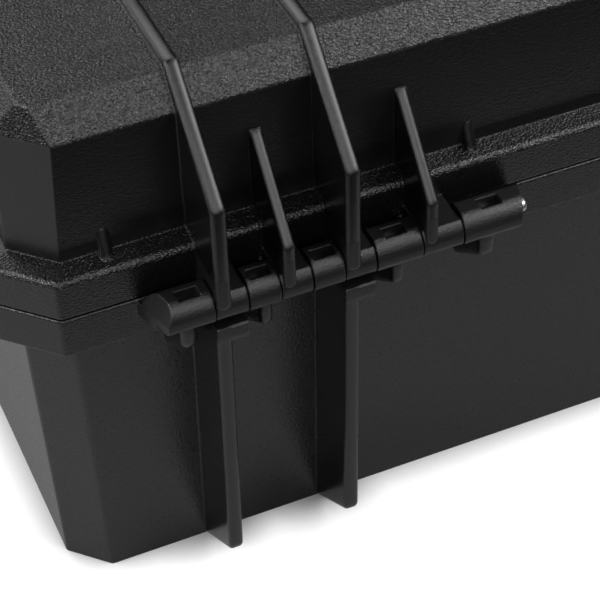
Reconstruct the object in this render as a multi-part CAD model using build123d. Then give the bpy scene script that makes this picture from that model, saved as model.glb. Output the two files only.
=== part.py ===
from build123d import *
import os
from math import atan2, cos, degrees, radians, sin, sqrt, tan

os.makedirs("parts", exist_ok=True)

# Case outline at the rim, where the two shells meet
flange_half_length = 232.0
flange_half_depth = 168.0
flange_corner = 14.0
parting_height = 110.5
parting_gap = 0.5
wall = 3.2

# Base shell
base_bottom_inset = 11.0
base_top_inset = 6.8
base_corner = 10.7
base_band_height = 12.5
base_floor = 3.4
rim_width = 10.0
floor_panel_inset = 30.0
floor_panel_depth = 1.4
edge_round = 1.6

# Lid shell
lid_flange_height = 12.4
lid_flange_slope = 1.2
lid_flank_inset = 6.1
lid_flank_corner = 10.4
lid_shoulder_drop = 8.5
lid_shoulder_inset = 7.1
lid_shoulder_corner = 11.9
lid_top_height = 169.0
lid_top_inset = 14.1
lid_top_corner = 2.0
lid_wall_shift = 4.0
flange_round = 2.1
flange_corner_round = 2.6
shoulder_round = 0.9
lip_round = 0.6

# Rim tongue, groove and seal
tongue_inset = 5.1
tongue_width = 2.0
tongue_height = 3.0
groove_depth = 7.7
seal_diameter = 4.8
seal_side_gap = 0.15
seal_bend = 2.6

# Hinges: knuckle joints are measured inwards from the outer end of each hinge
hinge_offset = 8.0
knuckle_radius = 5.9
lid_knuckle_radius = 5.7
knuckle_gap = 0.5
hinge_end_inset = 36.3
hinge_length = 103.8
knuckle_joints = [14.6, 23.8, 32.8, 41.8, 50.8, 59.8, 73.2, 85.1]
knuckle_lip_tilt = 25.0
knuckle_lip_drop = 1.4
knuckle_floor_drop = 2.8
knuckle_flat_rise = 5.5
lid_knuckle_flat_rise = 4.5
end_skew = 15.0
end_spare = 2.6
end_lean = 24.0
window_length = 6.2
window_back = 1.0
window_front = 2.6
window_outer_margin = 3.0
window_inner_margin = 0.4
bridge_drop = 0.5
bridge_thickness = 4.4
pin_radius = 2.0
press_clearance = 0.01
running_clearance = 0.06
pin_stand_out = 2.0
pin_end_round = 0.9
pin_chamfer = 0.4
pin_blind_wall = 4.0

# Ribs
rib_width = 4.2
rib_round = 1.2
rib_foot_rise = 0.1
short_rib_width = 3.4
short_rib_round = 1.0
short_rib_foot_rise = 1.0
lid_knuckle_ribs = ["long", "short", "long", "short"]
rib_bend_drop = 25.2
rib_shoulder_inset = 13.9
rib_stand_out = 2.3
rib_sink = 1.6
short_rib_bend_rise = 14.5
short_rib_top_drop = 20.3
short_rib_tip = 0.9
short_rib_setback = 0.5
base_rib_tip_height = 15.0
base_rib_foot_rise = 0.8
base_rib_top_drop = 6.6
base_rib_top_reach_cut = 0.9
base_rib_draft = 2.2
base_rib_foot_round = 4.0
ledge_height = 4.7
ledge_length = 8.7
gusset_places = [9.1, 30.7, 68.8, 95.6]
gusset_widths = [4.9, 3.6, 3.5, 4.9]
gusset_reach = 7.9
gusset_depth = 14.6
gusset_root_depth = 26.8
gusset_toe_round = 3.6
stub_insets = [29.1, 131.8]
stub_width = 3.6
stub_round = 1.65
stub_reach = 3.2
stub_height = 8.0

# Latches, drawn shut and then swung open about their pins
latch_axis_inset = 3.2
latch_axis_drop = 17.0
latch_barrel_radius = 3.8
latch_side_gap = 0.4
latch_seat_gap = 0.15
latch_open_angle = 155.0
latch_plate_gap = 0.6
latch_plate_front = 7.2
latch_heel_front = 3.6
latch_bevel_drop = 9.0
latch_nose_reach = 3.5
latch_nose_height = 2.2
latch_tab_reach = 8.0
latch_tab_rise = 12.6
latch_tab_thickness = 2.8
latch_tab_round = 1.0
latch_rail_width = 4.0
latch_panel_margin = 6.0
latch_panel_depth = 2.6
latch_seat_depth = 5.5
front_rib_top_gap = 1.0

# Carrying handle
handle_half_length = 69.0
handle_arm_width = 13.2
handle_arm_gap = 0.4
handle_ear_width = 4.2
handle_axis_inset = 1.0
handle_axis_drop = 19.0
handle_arm_radius = 4.6
handle_drop = 42.0
handle_bar_height = 9.0
handle_bar_depth = 11.0
handle_bar_forward = 3.0
handle_pin_radius = 2.5
grip_length = 92.0
grip_height = 18.0
grip_depth = 17.0
grip_fit = 0.05
grip_groove_count = 9
grip_groove_depth = 0.7
grip_groove_width = 2.2

# Padlock eyes
eye_place = 108.0
eye_width = 18.0
eye_reach = 13.4
eye_thickness = 6.0
eye_round = 6.5
eye_centre_reach = 7.0
eyelet_hole_radius = 3.5
eyelet_wall = 0.8
eyelet_rim = 1.6
eyelet_rim_thickness = 0.7

# Pressure valve
valve_height = 26.0
valve_hole_radius = 6.2
valve_stem_radius = 6.0
valve_boss_radius = 12.0
valve_boss_stand_out = 1.2
valve_pad = 0.8
valve_flange_radius = 10.0
valve_flange_thickness = 3.0
valve_cap_radius = 8.0
valve_cap_thickness = 2.4
valve_nut_width = 17.0
valve_nut_thickness = 5.0
valve_bore_radius = 3.0
valve_ring_radius = 8.2
valve_ring_cord = 1.8
valve_vent_count = 6
valve_vent_width = 1.6

# Foam linings
foam_gap = 0.3
foam_floor_thickness = 20.0
foam_wall_thickness = 18.0
foam_wall_top_gap = 4.0
foam_lid_inset = 17.0
foam_lid_thickness = 20.0
foam_pocket = 4.0

# Worked out from the sizes above
octagon_factor = 2 - sqrt(2)
lid_bottom = parting_height + parting_gap
lid_flange_top = lid_bottom + lid_flange_height
band_bottom = parting_height - base_band_height
axis_y = flange_half_depth + hinge_offset
axis_z = parting_height
rib_reach = axis_y + knuckle_radius
rib_top = lid_top_height + rib_stand_out
lid_shoulder_height = lid_top_height - lid_shoulder_drop
rib_bend_height = lid_top_height - rib_bend_drop
short_rib_bend = lid_bottom + short_rib_bend_rise
short_rib_top = lid_top_height - short_rib_top_drop
hinge_outer_end = flange_half_length - hinge_end_inset
hinge_inner_end = hinge_outer_end - hinge_length
wall_slope = (base_bottom_inset - base_top_inset) / parting_height
latch_axis_y = -(flange_half_depth - latch_axis_inset)
latch_axis_z = parting_height - latch_axis_drop
handle_axis_y = -(flange_half_depth - handle_axis_inset)
handle_axis_z = parting_height - handle_axis_drop


def inset_at(height):
    """How far the drafted base wall stands in from the rim at a height."""
    return base_bottom_inset - wall_slope * height


def octagon(inset, corner, height):
    """Outline of the case with cut corners, set in from the rim, as a level face."""
    x = flange_half_length - inset
    y = flange_half_depth - inset
    c = corner
    points = [(x - c, y), (x, y - c), (x, c - y), (x - c, -y), (c - x, -y), (-x, c - y), (-x, y - c), (c - x, y)]
    return Pos(0, 0, height) * make_face(Polyline(*points, close=True))


def rim_octagon(inset, height):
    """Outline that runs parallel to the rim."""
    return octagon(inset, flange_corner - inset * octagon_factor, height)


def prism(inset, bottom, top):
    return extrude(rim_octagon(inset, bottom), top - bottom)


def frustum(lower, upper):
    return loft([lower, upper], ruled=True)


def block(x_range, y_range, z_range):
    size = [high - low for low, high in (x_range, y_range, z_range)]
    centre = [(low + high) / 2 for low, high in (x_range, y_range, z_range)]
    return Pos(*centre) * Box(*size)


def side_profile(points, x, width):
    """Solid with an outline drawn in Y and Z, as wide as asked, centred on x."""
    face = Plane.YZ * make_face(Polyline(*points, close=True))
    return Pos(x - width / 2, 0, 0) * extrude(face, width)


def rod(x_range, y, z, radius):
    """Cylinder along X."""
    length = x_range[1] - x_range[0]
    return Pos((x_range[0] + x_range[1]) / 2, y, z) * Rot(0, 90, 0) * Cylinder(radius, length)


def upright(x, y, z_range, radius):
    length = z_range[1] - z_range[0]
    return Pos(x, y, (z_range[0] + z_range[1]) / 2) * Cylinder(radius, length)


def along_y(x, z, y_range, radius):
    length = y_range[1] - y_range[0]
    return Pos(x, (y_range[0] + y_range[1]) / 2, z) * Rot(90, 0, 0) * Cylinder(radius, length)


def rounded_long_edges(solid, keep, radius):
    """Rounds the edges along the sides of a rib that pass the test."""
    middle = solid.center().X
    edges = [e for e in solid.edges() if keep(e.center())
             and (abs(e.center().X - middle) > 0.1 or e.geom_type == GeomType.CIRCLE)]
    return fillet(edges, radius)


def both_sides(solids):
    """Every solid with its twin on the other side of the case."""
    return solids + [mirror(s, about=Plane.YZ) for s in solids]


# Base shell

def base_wall_outside():
    lower = octagon(base_bottom_inset, base_corner, 0)
    upper = octagon(base_top_inset, base_corner, parting_height)
    walls = frustum(lower, upper)
    upright_edges = [e for e in walls.edges() if abs(e.center().Z - parting_height / 2) < 1]
    return fillet(upright_edges, edge_round)


def base_band():
    band = prism(0, band_bottom, parting_height)
    upright_edges = [e for e in band.edges() if abs(e.center().Z - (band_bottom + parting_height) / 2) < 1]
    band = fillet(upright_edges, flange_corner_round)
    levels = band.faces().sort_by(Axis.Z)
    return fillet(levels[0].edges() + levels[-1].edges(), lip_round)


def base_cavity():
    inside_corner = base_corner - wall * octagon_factor
    lower = octagon(inset_at(base_floor) + wall, inside_corner, base_floor)
    upper = octagon(rim_width, inside_corner, parting_height + 1)
    return frustum(lower, upper)


def rim_ring(inset, width, bottom, top):
    """Ring that follows the rim, centred on a line set in from it."""
    return prism(inset - width / 2, bottom, top) - prism(inset + width / 2, bottom - 1, top + 1)


def hinge_segments():
    """Start and end of each knuckle, from the outer end of the hinge inwards."""
    stops = [hinge_outer_end + end_spare] + [hinge_outer_end - j for j in knuckle_joints] + [hinge_inner_end - end_spare]
    spans = []
    for i in range(len(stops) - 1):
        outer = stops[i] - (knuckle_gap / 2 if i > 0 else 0)
        inner = stops[i + 1] + (knuckle_gap / 2 if i + 1 < len(stops) - 1 else 0)
        spans.append((inner, outer))
    return spans


def barrel(x_range, radius, flat_rise):
    """Knuckle: round outside, a narrow sloping lip below it, and flat below and on top."""
    lip_run = (knuckle_floor_drop - knuckle_lip_drop) * tan(radians(knuckle_lip_tilt))
    size = 2 * radius
    floor = axis_z - knuckle_floor_drop
    points = [(axis_y - size, floor), (axis_y + radius - lip_run, floor), (axis_y + radius, axis_z - knuckle_lip_drop),
              (axis_y + radius, axis_z + flat_rise), (axis_y - size, axis_z + flat_rise)]
    x = (x_range[0] + x_range[1]) / 2
    section = side_profile(points, x, x_range[1] - x_range[0])
    lower = block(x_range, (axis_y - radius, axis_y + radius), (floor, axis_z))
    return (rod(x_range, axis_y, axis_z, radius) + lower) & section


def end_trim(x, outward, lean_angle):
    """Wedges that cut a hinge end askew below its axis and leaning above it."""
    size = 4 * knuckle_radius
    skew = Rot(0, 0, outward * end_skew)
    lower = Pos(x, axis_y, axis_z) * skew * Pos(outward * size / 2, 0, 0) * Box(size, 2 * size, 2 * size)
    lean = Rot(0, -outward * lean_angle, 0)
    upper = Pos(x, axis_y, axis_z) * skew * lean * Pos(outward * size / 2, 0, size / 2) * Box(size, 2 * size, size)
    return lower + upper


def base_knuckle(x_range):
    knuckle = barrel(x_range, knuckle_radius, knuckle_flat_rise)
    bridge_top = parting_height - bridge_drop
    bridge = block(x_range, (flange_half_depth - rim_width / 2, axis_y),
                   (bridge_top - bridge_thickness, bridge_top))
    inner = max(x_range[0], hinge_inner_end + window_inner_margin)
    outer = min(x_range[1], hinge_outer_end - window_outer_margin)
    middle = (inner + outer) / 2
    window = block((middle - window_length / 2, middle + window_length / 2),
                   (axis_y - window_back, axis_y + window_front), (axis_z, axis_z + 2 * knuckle_radius))
    return knuckle + bridge - window


def base_gusset(x, width):
    """Web with a rounded toe that carries a knuckle down to the wall."""
    wall_y = flange_half_depth - base_top_inset - wall / 2
    toe_y = flange_half_depth + gusset_reach
    top = axis_z - knuckle_floor_drop + 0.5
    points = [(wall_y, top), (toe_y, top), (toe_y, axis_z - gusset_depth), (wall_y, axis_z - gusset_root_depth)]
    web = side_profile(points, x, width)
    toe = [e for e in web.edges() if abs(e.center().Y - toe_y) < 0.01 and abs(e.length - width) < 0.01
           and e.center().Z < top - 1]
    web = fillet(toe, gusset_toe_round)
    return rounded_long_edges(web, lambda c: c.Y > toe_y - gusset_toe_round and c.Z < top - 1, width * 0.4)


def base_rib(x, side, reach, top):
    """Deep fin down the wall; side is 1 at the back and -1 at the front."""
    root = flange_half_depth - base_top_inset - wall / 2
    foot_root = flange_half_depth - base_bottom_inset - wall / 2
    tip = reach - base_rib_draft
    points = [(side * root, top), (side * reach, top), (side * tip, base_rib_tip_height),
              (side * (foot_root + wall), base_rib_foot_rise), (side * foot_root, base_rib_foot_rise / 2)]
    fin = side_profile(points, x, rib_width)
    toe = [e for e in fin.edges() if abs(e.center().Y - side * tip) < 0.01 and abs(e.center().X - x) < 0.1]
    fin = fillet(toe, base_rib_foot_round)
    outer = min(reach, tip) - 1
    return rounded_long_edges(fin, lambda c: abs(c.Y) > outer and c.Z < top - 1, rib_round)


def rib_places(kind):
    """Middles of the ribs of one kind, each at the outer end of its lid knuckle."""
    setback = rib_width / 2 if kind == "long" else short_rib_width / 2 + short_rib_setback
    spans = hinge_segments()[1::2]
    return [span[1] - setback for span, rib in zip(spans, lid_knuckle_ribs) if rib == kind]


def hinge_ribs_of_base():
    top = axis_z - base_rib_top_drop
    reach = rib_reach - base_rib_top_reach_cut
    ribs = []
    for x in rib_places("long"):
        ribs.append(base_rib(x, 1, reach, top))
        edge = x + rib_width / 2
        ledge = block((edge - ledge_length, edge), (flange_half_depth - base_top_inset - 1, reach),
                      (top - ledge_height, top))
        ribs.append(chamfer(ledge.edges().group_by(Axis.Z)[-1].group_by(Axis.Y)[-1], 0.5))
    return ribs


def hinge_of_base():
    knuckles = [base_knuckle(span) for span in hinge_segments()[0::2]]
    knuckles[0] = knuckles[0] - end_trim(hinge_outer_end, 1, end_lean)
    knuckles[-1] = knuckles[-1] - end_trim(hinge_inner_end, -1, 0)
    gussets = [base_gusset(hinge_outer_end - place, width) for place, width in zip(gusset_places, gusset_widths)]
    return knuckles + gussets + hinge_ribs_of_base()


def latch_ribs_of_base():
    top = parting_height - front_rib_top_gap
    return [base_rib(x, -1, rib_reach, top) for x in rib_places("long")]


def handle_ear_places():
    outer = handle_half_length + handle_arm_width / 2 + handle_arm_gap + handle_ear_width / 2
    inner = handle_half_length - handle_arm_width / 2 - handle_arm_gap - handle_ear_width / 2
    return [inner, outer]


def handle_ear(x):
    """Short rib under the band with a rounded nose round the handle's pin."""
    radius = handle_pin_radius + wall
    root = -(flange_half_depth - base_bottom_inset + wall / 2)
    top = parting_height - front_rib_top_gap
    nose = handle_axis_y - radius
    points = [(root, top), (nose, top), (nose, handle_axis_z), (root, handle_axis_z - 3 * radius)]
    web = side_profile(points, x, handle_ear_width)
    web = web + rod((x - handle_ear_width / 2, x + handle_ear_width / 2), handle_axis_y, handle_axis_z, radius)
    return web


def eye_tab(bottom, top):
    """Padlock tab that stands out from the rim at the front."""
    front = -(flange_half_depth + eye_reach)
    tab = block((eye_place - eye_width / 2, eye_place + eye_width / 2),
                (front, -(flange_half_depth - rim_width / 2)), (bottom, top))
    corners = [e for e in tab.edges() if abs(e.center().Y - front) < 0.01 and abs(e.length - (top - bottom)) < 0.01]
    return fillet(corners, eye_round)


def eye_bore(bottom, top):
    return upright(eye_place, -(flange_half_depth + eye_centre_reach), (bottom, top), eyelet_hole_radius + eyelet_wall)


def valve_seat_y():
    return -(flange_half_depth - inset_at(valve_height) + valve_boss_stand_out)


def base_shell():
    shell = base_wall_outside() + base_band()
    shell = shell + both_sides(hinge_of_base())
    shell = shell + both_sides(latch_ribs_of_base())
    shell = shell + both_sides([handle_ear(x) for x in handle_ear_places()])
    tab_top = parting_height - parting_gap / 2
    shell = shell + both_sides([eye_tab(tab_top - eye_thickness, tab_top)])
    shell = shell + along_y(0, valve_height, (valve_seat_y(), -(flange_half_depth - base_bottom_inset - wall / 2)),
                            valve_boss_radius)
    shell = shell - base_cavity()
    seat = valve_seat_y() + valve_boss_stand_out + wall
    shell = shell + along_y(0, valve_height, (seat - wall / 2, seat + valve_pad), valve_boss_radius)
    shell = shell + rim_ring(tongue_inset, tongue_width, parting_height - 1, parting_height + tongue_height)
    panel = extrude(octagon(floor_panel_inset, base_corner, -1), 1 + floor_panel_depth)
    shell = shell - panel
    bores = [rod((hinge_inner_end - 9, hinge_outer_end - pin_blind_wall), axis_y, axis_z,
                 pin_radius + press_clearance)]
    places = rib_places("long")
    bores.append(rod((places[1] - rib_width, places[0] + rib_width), latch_axis_y, latch_axis_z,
                     pin_radius + press_clearance))
    ears = handle_ear_places()
    bores.append(rod((ears[0] - handle_ear_width, ears[1] + handle_ear_width), handle_axis_y, handle_axis_z,
                     handle_pin_radius + press_clearance))
    bores.append(eye_bore(tab_top - 2 * eye_thickness, tab_top + eye_thickness))
    shell = shell - both_sides(bores)
    shell = shell - along_y(0, valve_height, (valve_seat_y() - 1, seat + 2 * wall), valve_hole_radius)
    return shell


# Lid shell

def lid_outside():
    foot = octagon(lid_flank_inset, lid_flank_corner, lid_bottom)
    shoulder = octagon(lid_shoulder_inset, lid_shoulder_corner, lid_shoulder_height)
    top = octagon(lid_top_inset, lid_top_corner, lid_top_height)
    body = frustum(foot, shoulder) + frustum(shoulder, top)
    level = [e for e in body.edges() if e.center().Z > lid_shoulder_height - 1
             and abs(e.start_point().Z - e.end_point().Z) < 0.01]
    body = fillet(level, shoulder_round)
    flange = prism(0, lid_bottom, lid_flange_top)
    upright_edges = [e for e in flange.edges() if abs(e.center().Z - (lid_bottom + lid_flange_top) / 2) < 1]
    flange = fillet(upright_edges, flange_corner_round)
    slope = frustum(rim_octagon(flange_round, lid_flange_top - 0.01),
                    rim_octagon(lid_flank_inset + 1, lid_flange_top + lid_flange_slope))
    flange = fillet(flange.faces().sort_by(Axis.Z)[-1].edges(), flange_round)
    flange = fillet(flange.faces().sort_by(Axis.Z)[0].edges(), lip_round)
    return body + flange + slope


def lid_cavity():
    shoulder_inset = lid_shoulder_inset + wall
    lean = (lid_top_inset - lid_shoulder_inset) / (lid_top_height - lid_shoulder_height)
    ceiling = lid_top_height - wall
    ceiling_inset = lid_shoulder_inset + lean * (ceiling - lid_shoulder_height) + lid_wall_shift
    knee = lid_shoulder_height - (lid_wall_shift - wall) / lean
    inside_corner = lid_flank_corner - wall * octagon_factor
    mouth = octagon(rim_width, inside_corner, lid_bottom - 1)
    neck = octagon(rim_width, inside_corner, lid_flange_top)
    knee_face = octagon(shoulder_inset, lid_shoulder_corner - wall * octagon_factor, knee)
    top = octagon(ceiling_inset, lid_top_corner + 1, ceiling)
    return frustum(mouth, neck) + frustum(neck, knee_face) + frustum(knee_face, top)


def rib_heel(root, foot):
    """Start of a rib's outline: along the rim, then out over its knuckle."""
    return [(root, lid_bottom), (axis_y, lid_bottom), (axis_y, foot), (rib_reach, foot)]


def rib_toe(x, foot, width):
    """Half-round end of a rib on its knuckle."""
    return along_y(x, foot, (axis_y, rib_reach), width / 2)


def lid_long_rib(x):
    """Closed band over the lid, from the hinge up over the top and down to the latch."""
    shoulder = flange_half_depth - rib_shoulder_inset
    low = flange_half_depth - rim_width / 2
    flank = flange_half_depth - lid_flank_inset - rib_sink
    upper = flange_half_depth - lid_shoulder_inset - rib_sink
    inner_top = flange_half_depth - lid_top_inset - rib_sink
    foot = axis_z + rib_foot_rise + rib_width / 2
    back = rib_heel(low, foot) + [(rib_reach, rib_bend_height), (shoulder, rib_top)]
    front = [(-shoulder, rib_top), (-rib_reach, rib_bend_height), (-rib_reach, lid_bottom), (-low, lid_bottom)]
    inner_front = [(-low, lid_flange_top - 1), (-flank, lid_flange_top), (-upper, lid_shoulder_height),
                   (-inner_top, lid_top_height - rib_sink)]
    inner_back = [(-y, z) for y, z in reversed(inner_front)]
    rib = side_profile(back + front + inner_front + inner_back, x, rib_width) + rib_toe(x, foot, rib_width)

    def on_outer_edge(c):
        vertical = abs(abs(c.Y) - rib_reach) < 0.01
        level = abs(c.Z - rib_top) < 0.01
        middle_y = (rib_reach + shoulder) / 2
        middle_z = (rib_bend_height + rib_top) / 2
        sloping = abs(abs(c.Y) - middle_y) < 0.01 and abs(c.Z - middle_z) < 0.01
        return vertical or level or sloping

    return rounded_long_edges(rib, on_outer_edge, rib_round)


def lid_short_rib(x):
    """Low rib that runs out into the flank above its knuckle."""
    low = flange_half_depth - rim_width / 2
    flank = flange_half_depth - lid_shoulder_inset
    foot = axis_z + short_rib_foot_rise + short_rib_width / 2
    points = rib_heel(low, foot) + [(rib_reach, short_rib_bend), (flank + short_rib_tip, short_rib_top),
                                    (flank - rib_sink, short_rib_top), (low - rib_sink, lid_flange_top)]
    rib = side_profile(points, x, short_rib_width) + rib_toe(x, foot, short_rib_width)
    middle_y = (rib_reach + flank + short_rib_tip) / 2
    middle_z = (short_rib_bend + short_rib_top) / 2

    def on_outer_edge(c):
        vertical = abs(c.Y - rib_reach) < 0.01
        sloping = abs(c.Y - middle_y) < 0.01 and abs(c.Z - middle_z) < 0.01
        return vertical or sloping

    return rounded_long_edges(rib, on_outer_edge, short_rib_round)


def lid_stub(x):
    """Small web in the corner between the flank and the top of the flange."""
    root = flange_half_depth - lid_flank_inset
    points = [(root - rib_sink, lid_flange_top - 1), (root + stub_reach, lid_flange_top - 1),
              (root + stub_reach, lid_flange_top + lid_flange_slope / 2),
              (root - 0.3, lid_flange_top + stub_height), (root - rib_sink, lid_flange_top + stub_height)]
    web = side_profile(points, x, stub_width)
    return rounded_long_edges(web, lambda c: root - 0.2 < c.Y < root + stub_reach
                              and c.Z > lid_flange_top + lid_flange_slope, stub_round)


def lid_knuckle(x_range):
    web = block(x_range, (flange_half_depth - rim_width / 2, axis_y),
                (lid_bottom, axis_z + lid_knuckle_flat_rise))
    return barrel(x_range, lid_knuckle_radius, lid_knuckle_flat_rise) + web


def latch_seat():
    """Flat cut in the top of the flange that a latch's nose drops on."""
    places = rib_places("long")
    return block((places[1] + rib_width / 2, places[0] - rib_width / 2),
                 (-(flange_half_depth + 1), -(flange_half_depth - latch_seat_depth)),
                 (lid_flange_top - 0.1, lid_flange_top + 2 * lid_flange_slope))


def lid_shell():
    shell = lid_outside()
    knuckles = [lid_knuckle(span) for span in hinge_segments()[1::2]]
    ribs = [lid_long_rib(x) for x in rib_places("long")] + [lid_short_rib(x) for x in rib_places("short")]
    stubs = [lid_stub(flange_half_length - inset) for inset in stub_insets]
    shell = shell + both_sides(knuckles + ribs + stubs)
    shell = shell + both_sides([eye_tab(lid_bottom, lid_bottom + eye_thickness)])
    shell = shell - lid_cavity()
    groove_width = seal_diameter + 2 * seal_side_gap
    shell = shell - rim_ring(tongue_inset, groove_width, lid_bottom - 1, lid_bottom + groove_depth)
    cuts = [rod((hinge_inner_end - 9, hinge_outer_end), axis_y, axis_z, pin_radius + running_clearance)]
    cuts.append(eye_bore(lid_bottom - eye_thickness, lid_bottom + 2 * eye_thickness))
    cuts.append(latch_seat())
    return shell - both_sides(cuts)


def lid_seal():
    """Round cord laid in the groove, bent round the cut corners."""
    inset = tongue_inset
    corner = flange_corner - inset * octagon_factor
    x = flange_half_length - inset
    y = flange_half_depth - inset
    c = corner
    points = [(x - c, y), (x, y - c), (x, c - y), (x - c, -y), (c - x, -y), (-x, c - y), (-x, y - c), (c - x, y)]
    height = lid_bottom + groove_depth - seal_diameter / 2 - 0.05
    path = Pos(0, 0, height) * FilletPolyline(*points, radius=seal_bend, close=True)
    start = path @ 0
    section = Plane(origin=start, z_dir=path % 0) * Circle(seal_diameter / 2)
    return sweep(section, path=path)


# Hinge pins

def hinge_pin():
    pin = rod((hinge_inner_end - pin_stand_out, hinge_outer_end - pin_blind_wall - 0.2), axis_y, axis_z, pin_radius)
    ends = pin.edges().filter_by(GeomType.CIRCLE).sort_by(Axis.X)
    pin = fillet(ends[0], pin_end_round)
    return chamfer(pin.edges().filter_by(GeomType.CIRCLE).sort_by(Axis.X)[-1], pin_chamfer)


# Latches

def latch_shut():
    """One moulded lever: barrel at its foot, plate over the rim, nose over the lid, tab for the finger."""
    places = rib_places("long")
    low = places[1] + rib_width / 2 + latch_side_gap
    high = places[0] - rib_width / 2 - latch_side_gap
    front = -flange_half_depth
    seat = lid_flange_top - 0.1 + latch_seat_gap
    foot = parting_height - base_band_height
    neck = latch_barrel_radius * 0.9
    tab_tip = seat + latch_tab_rise
    outline = [(-latch_axis_inset, latch_axis_z), (-latch_axis_inset + neck / 2, latch_axis_z + neck),
               (latch_plate_gap, latch_axis_z + latch_barrel_radius + 0.2), (latch_plate_gap, seat),
               (-latch_nose_reach, seat), (-latch_nose_reach, seat + latch_nose_height),
               (-latch_nose_reach / 3, seat + 2 * latch_nose_height),
               (latch_heel_front, seat + 3 * latch_nose_height), (latch_tab_reach, tab_tip),
               (latch_tab_reach + latch_tab_thickness, tab_tip - latch_tab_thickness / 2),
               (latch_plate_front, seat + latch_heel_front), (latch_plate_front, seat - latch_bevel_drop),
               (latch_heel_front, foot), (-latch_axis_inset + neck, latch_axis_z - neck / 2)]
    points = [(front - u, z) for u, z in outline]
    lever = side_profile(points, (low + high) / 2, high - low)
    tip_edges = [e for e in lever.edges() if e.center().Z > tab_tip - latch_tab_thickness
                 and abs(e.length - (high - low)) < 0.01]
    lever = fillet(tip_edges, latch_tab_round)
    panel = block((low + latch_rail_width, high - latch_rail_width),
                  (front - 2 * latch_tab_reach, front - latch_plate_front + latch_panel_depth),
                  (foot + latch_panel_margin, seat - latch_nose_height))
    lever = lever - panel
    lever = lever + rod((low, high), latch_axis_y, latch_axis_z, latch_barrel_radius)
    return lever - rod((low - 1, high + 1), latch_axis_y, latch_axis_z, pin_radius + running_clearance)


def latch_open():
    """The lever swung down about its pin, as it hangs when the case is unlatched."""
    axis = Axis((0, latch_axis_y, latch_axis_z), (1, 0, 0))
    return latch_shut().rotate(axis, latch_open_angle)


def latch_pin():
    places = rib_places("long")
    pin = rod((places[1] - rib_width / 2, places[0] + rib_width / 2), latch_axis_y, latch_axis_z, pin_radius)
    return chamfer(pin.edges().filter_by(GeomType.CIRCLE), pin_chamfer)


# Carrying handle, folded down

def handle_bar_centre():
    return (handle_axis_y - handle_bar_forward, handle_axis_z - handle_drop)


def handle_arm():
    bar_y, bar_z = handle_bar_centre()
    r = handle_arm_radius
    half = handle_bar_depth / 2
    points = [(handle_axis_y - r, handle_axis_z), (handle_axis_y + r, handle_axis_z),
              (bar_y + half, bar_z), (bar_y + half, bar_z - handle_bar_height / 2),
              (bar_y - half, bar_z - handle_bar_height / 2), (bar_y - half, bar_z)]
    arm = side_profile(points, handle_half_length, handle_arm_width)
    arm = arm + rod((handle_half_length - handle_arm_width / 2, handle_half_length + handle_arm_width / 2),
                    handle_axis_y, handle_axis_z, r)
    return arm


def handle_frame():
    bar_y, bar_z = handle_bar_centre()
    bar = Pos(0, bar_y, bar_z) * Box(2 * handle_half_length, handle_bar_depth, handle_bar_height)
    frame = bar + both_sides([handle_arm()])
    heel = [e for e in frame.edges() if abs(abs(e.center().X) - handle_half_length - handle_arm_width / 2) < 0.01
            and e.center().Z < bar_z]
    frame = fillet(heel, 2.0)
    bore = rod((handle_half_length - handle_arm_width, handle_half_length + handle_arm_width), handle_axis_y,
               handle_axis_z, handle_pin_radius + running_clearance)
    return frame - both_sides([bore])


def handle_grip():
    """Soft sleeve round the bar with grooves across its front."""
    bar_y, bar_z = handle_bar_centre()
    section = Plane.YZ * Pos(bar_y, bar_z) * RectangleRounded(grip_depth, grip_height, grip_height * 0.4)
    sleeve = Pos(-grip_length / 2, 0, 0) * extrude(section, grip_length)
    ends = sleeve.edges().group_by(Axis.X)
    sleeve = fillet(ends[0] + ends[-1], 1.5)
    core = Pos(0, bar_y, bar_z) * Box(2 * grip_length, handle_bar_depth + 2 * grip_fit,
                                      handle_bar_height + 2 * grip_fit)
    sleeve = sleeve - core
    pitch = grip_length / (grip_groove_count + 2)
    front = bar_y - grip_depth / 2
    for i in range(grip_groove_count):
        x = (i - (grip_groove_count - 1) / 2) * pitch
        sleeve = sleeve - block((x - grip_groove_width / 2, x + grip_groove_width / 2),
                                (front - 1, front + grip_groove_depth), (bar_z - grip_height, bar_z + grip_height))
    return sleeve


def handle_pin():
    ears = handle_ear_places()
    pin = rod((ears[0] - handle_ear_width / 2, ears[1] + handle_ear_width / 2), handle_axis_y, handle_axis_z,
              handle_pin_radius)
    return chamfer(pin.edges().filter_by(GeomType.CIRCLE), pin_chamfer)


# Padlock eyelets

def eyelet(bottom, top, rim_below):
    """Steel sleeve pressed into a tab, with a rim on its free side."""
    y = -(flange_half_depth + eye_centre_reach)
    outside = eyelet_hole_radius + eyelet_wall - press_clearance
    sleeve = upright(eye_place, y, (bottom, top), outside)
    if rim_below:
        rim = upright(eye_place, y, (bottom - eyelet_rim_thickness, bottom), outside + eyelet_rim)
    else:
        rim = upright(eye_place, y, (top, top + eyelet_rim_thickness), outside + eyelet_rim)
    return sleeve + rim - upright(eye_place, y, (bottom - 5, top + 5), eyelet_hole_radius)


# Pressure valve

def valve_body():
    seat = valve_seat_y()
    flange = along_y(0, valve_height, (seat - valve_flange_thickness, seat), valve_flange_radius)
    front_rim = flange.edges().filter_by(GeomType.CIRCLE).sort_by(Axis.Y)[0]
    flange = fillet(front_rim, 0.8)
    inner_end = seat + valve_boss_stand_out + wall + valve_pad + valve_nut_thickness + 2.5
    stem = along_y(0, valve_height, (seat - 0.5, inner_end), valve_stem_radius)
    bore = along_y(0, valve_height, (seat - valve_flange_thickness - 1, inner_end + 1), valve_bore_radius)
    groove = along_y(0, valve_height, (seat - valve_ring_cord * 0.85, seat + 0.2), valve_ring_radius + 1.1)
    core = along_y(0, valve_height, (seat - valve_ring_cord, seat + 1), valve_ring_radius - 1.1)
    return flange - (groove - core) + stem - bore


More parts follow.
